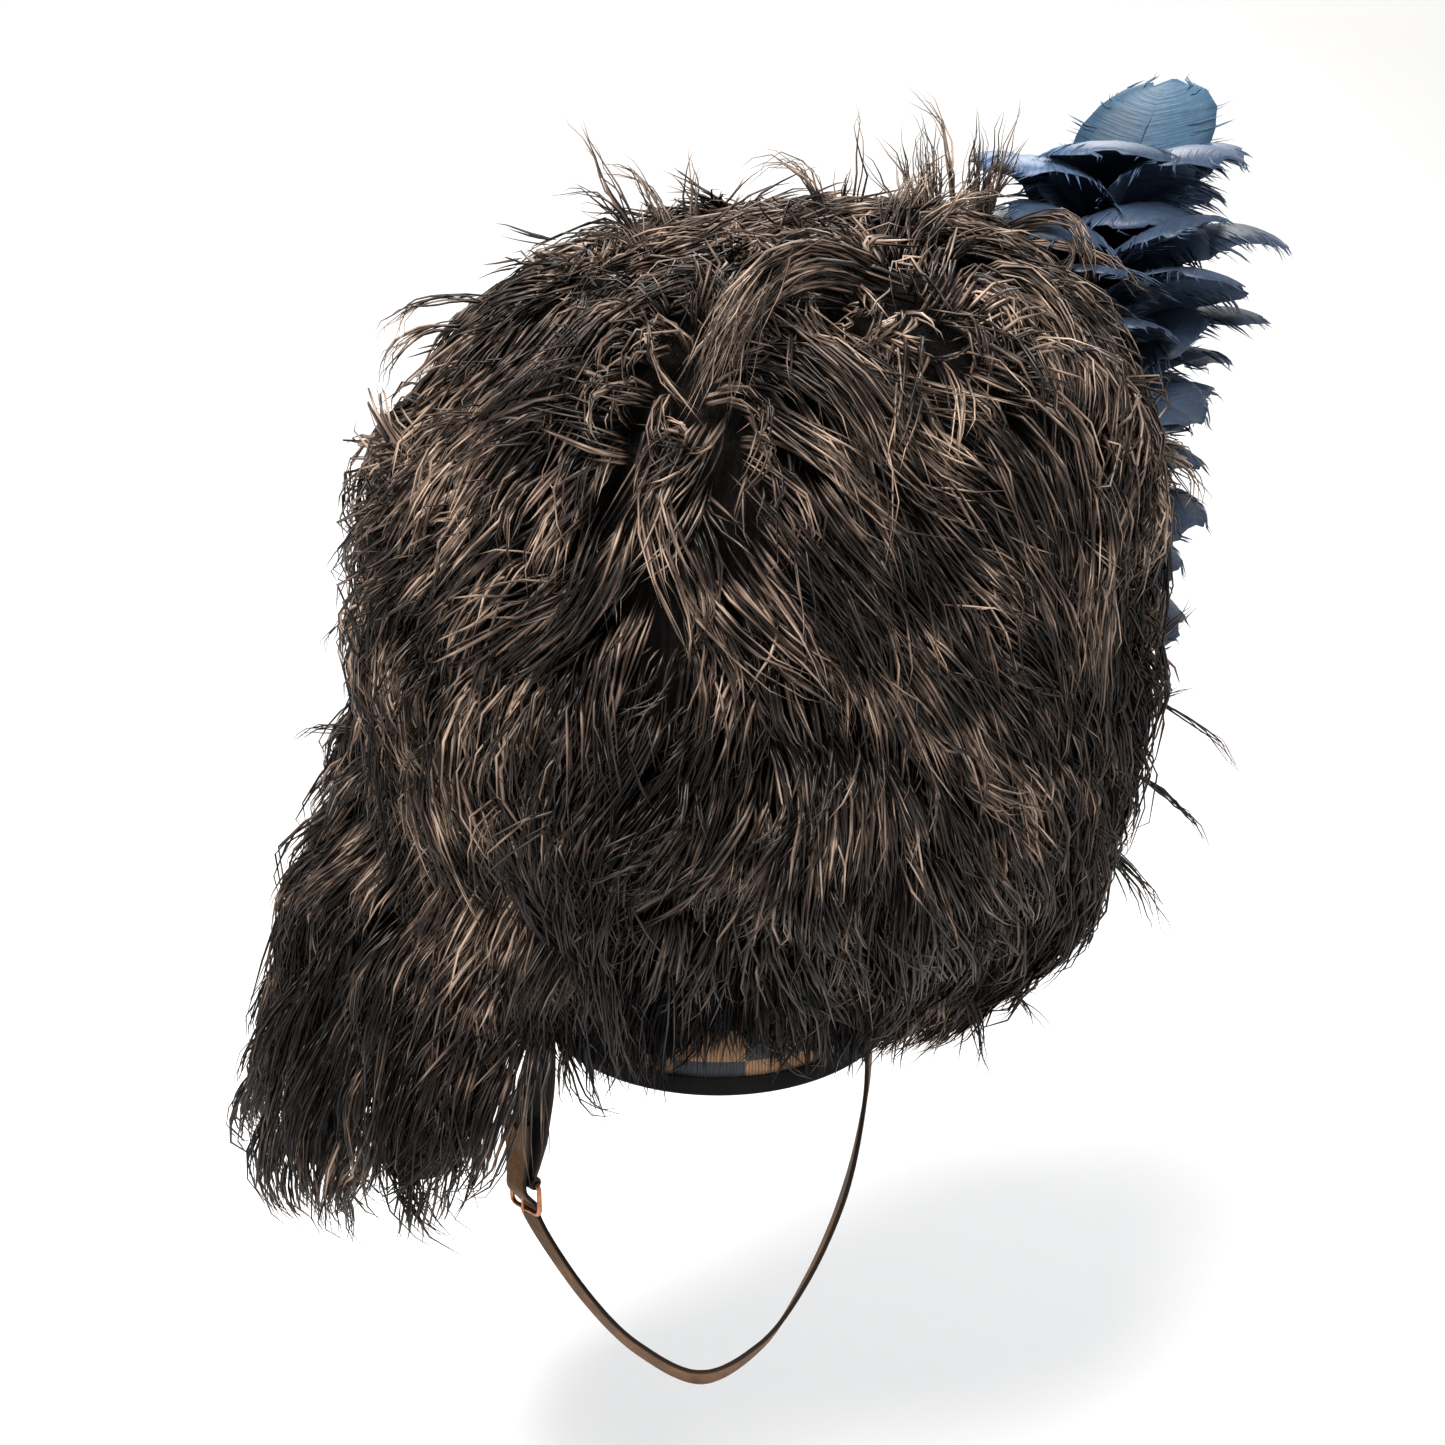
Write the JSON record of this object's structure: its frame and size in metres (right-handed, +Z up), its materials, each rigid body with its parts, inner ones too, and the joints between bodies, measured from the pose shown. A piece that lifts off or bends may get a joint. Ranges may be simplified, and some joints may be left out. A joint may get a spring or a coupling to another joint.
{
  "type": "feather bonnet",
  "caption": "Tall soldier's feather bonnet of black ostrich plumes on a hollow crown, with diced band, hanging tails, blue hackle and buckled leather chin strap",
  "frame": {"origin": "middle of the head opening, level with the underside of the bound edge", "axes": "+Z up, the face looks along -Y, the wearer's left and the hackle are at +X"},
  "size_m": [0.4851, 0.3359, 0.6048],
  "materials": {
    "crown_cloth": "matt black cloth",
    "diced_band": "woven diced band, ribbed",
    "binding": "matt black leather",
    "plumes": "soft feather barbs",
    "hackle_feathers": "soft dyed feather vanes",
    "socket_leather": "plain black leather",
    "black_leather": "smooth black leather",
    "brown_leather": "worn brown leather",
    "buckle_metal": "copper-coloured wire, worn"
  },
  "bodies": {
    "root": {"crown": "crown_cloth", "headband": "diced_band", "edge_binding": "binding", "top_plumes": "plumes", "middle_plumes": "plumes", "lower_plumes": "plumes", "tail_1": "plumes", "tail_2": "plumes", "tail_3": "plumes", "tail_4": "plumes", "hackle": "hackle_feathers", "hackle_socket": "socket_leather", "strap_chape": "black_leather", "chin_strap": "brown_leather", "buckle_frame": "buckle_metal", "buckle_prong": "buckle_metal"}
  },
  "joints": []
}
